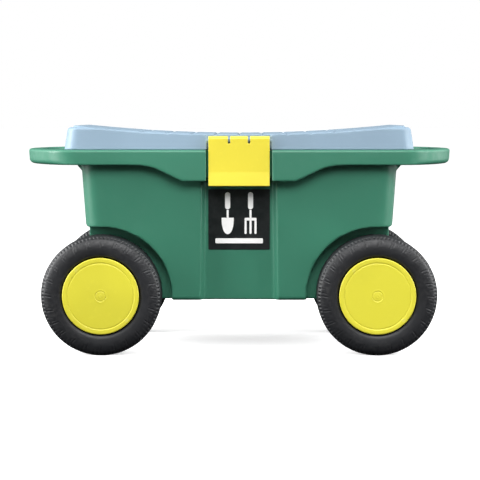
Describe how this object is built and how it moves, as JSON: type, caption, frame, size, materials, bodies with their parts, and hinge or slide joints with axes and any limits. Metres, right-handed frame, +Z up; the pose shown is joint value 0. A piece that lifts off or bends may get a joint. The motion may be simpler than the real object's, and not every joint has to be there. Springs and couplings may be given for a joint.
{
  "type": "rolling garden seat with tool tub",
  "caption": "Low rolling garden seat: a moulded tool tub with end handles on four wheels, under a dished lift-off seat lid held by a snap latch on each long side.",
  "frame": {"origin": "on the floor, under the middle of the cart", "axes": "+X along the cart from one end handle to the other, -Y towards the side with the label, +Z up"},
  "size_m": [0.552, 0.271, 0.2883],
  "materials": {
    "green_moulding": "satin moulded polypropylene",
    "blue_moulding": "satin moulded polypropylene",
    "yellow_moulding": "semi-gloss moulded polypropylene",
    "black_blow_moulding": "satin blow-moulded polyethylene",
    "label_film": "printed film",
    "zinc_steel": "zinc plated"
  },
  "bodies": {
    "cart": {"tub": "green_moulding", "label": "label_film", "axle_left": "zinc_steel", "axle_right": "zinc_steel", "inner_washer_left_front": "zinc_steel", "inner_washer_left_rear": "zinc_steel", "inner_washer_right_front": "zinc_steel", "inner_washer_right_rear": "zinc_steel", "outer_washer_left_front": "zinc_steel", "outer_washer_left_rear": "zinc_steel", "outer_washer_right_front": "zinc_steel", "outer_washer_right_rear": "zinc_steel", "push_nut_left_front": "zinc_steel", "push_nut_left_rear": "zinc_steel", "push_nut_right_front": "zinc_steel", "push_nut_right_rear": "zinc_steel"},
    "seat_lid": {"lid": "blue_moulding"},
    "front_latch": {"latch_front": "yellow_moulding"},
    "rear_latch": {"latch_rear": "yellow_moulding"},
    "left_front_wheel": {"wheel_left_front": "black_blow_moulding", "hub_cap_left_front": "yellow_moulding"},
    "left_rear_wheel": {"wheel_left_rear": "black_blow_moulding", "hub_cap_left_rear": "yellow_moulding"},
    "right_front_wheel": {"wheel_right_front": "black_blow_moulding", "hub_cap_right_front": "yellow_moulding"},
    "right_rear_wheel": {"wheel_right_rear": "black_blow_moulding", "hub_cap_right_rear": "yellow_moulding"}
  },
  "joints": [
    {"name": "left_front_wheel_spin", "type": "hinge", "parent": "cart", "child": "left_front_wheel", "pos_m": [-0.173, -0.114, 0.0755], "axis": [0, 1, 0], "continuous": true},
    {"name": "left_rear_wheel_spin", "type": "hinge", "parent": "cart", "child": "left_rear_wheel", "pos_m": [-0.173, 0.114, 0.0755], "axis": [0, 1, 0], "continuous": true},
    {"name": "right_front_wheel_spin", "type": "hinge", "parent": "cart", "child": "right_front_wheel", "pos_m": [0.173, -0.114, 0.0755], "axis": [0, 1, 0], "continuous": true},
    {"name": "right_rear_wheel_spin", "type": "hinge", "parent": "cart", "child": "right_rear_wheel", "pos_m": [0.173, 0.114, 0.0755], "axis": [0, 1, 0], "continuous": true},
    {"name": "lid_lift", "type": "slide", "parent": "cart", "child": "seat_lid", "axis": [0, 0, 1], "range_m": [0, 0.08]},
    {"name": "front_latch_swing", "type": "hinge", "parent": "seat_lid", "child": "front_latch", "pos_m": [0, -0.124, 0.2695], "axis": [-1, 0, 0], "range_deg": [0, 110]},
    {"name": "rear_latch_swing", "type": "hinge", "parent": "seat_lid", "child": "rear_latch", "pos_m": [0, 0.124, 0.2695], "axis": [1, 0, 0], "range_deg": [0, 110]}
  ]
}
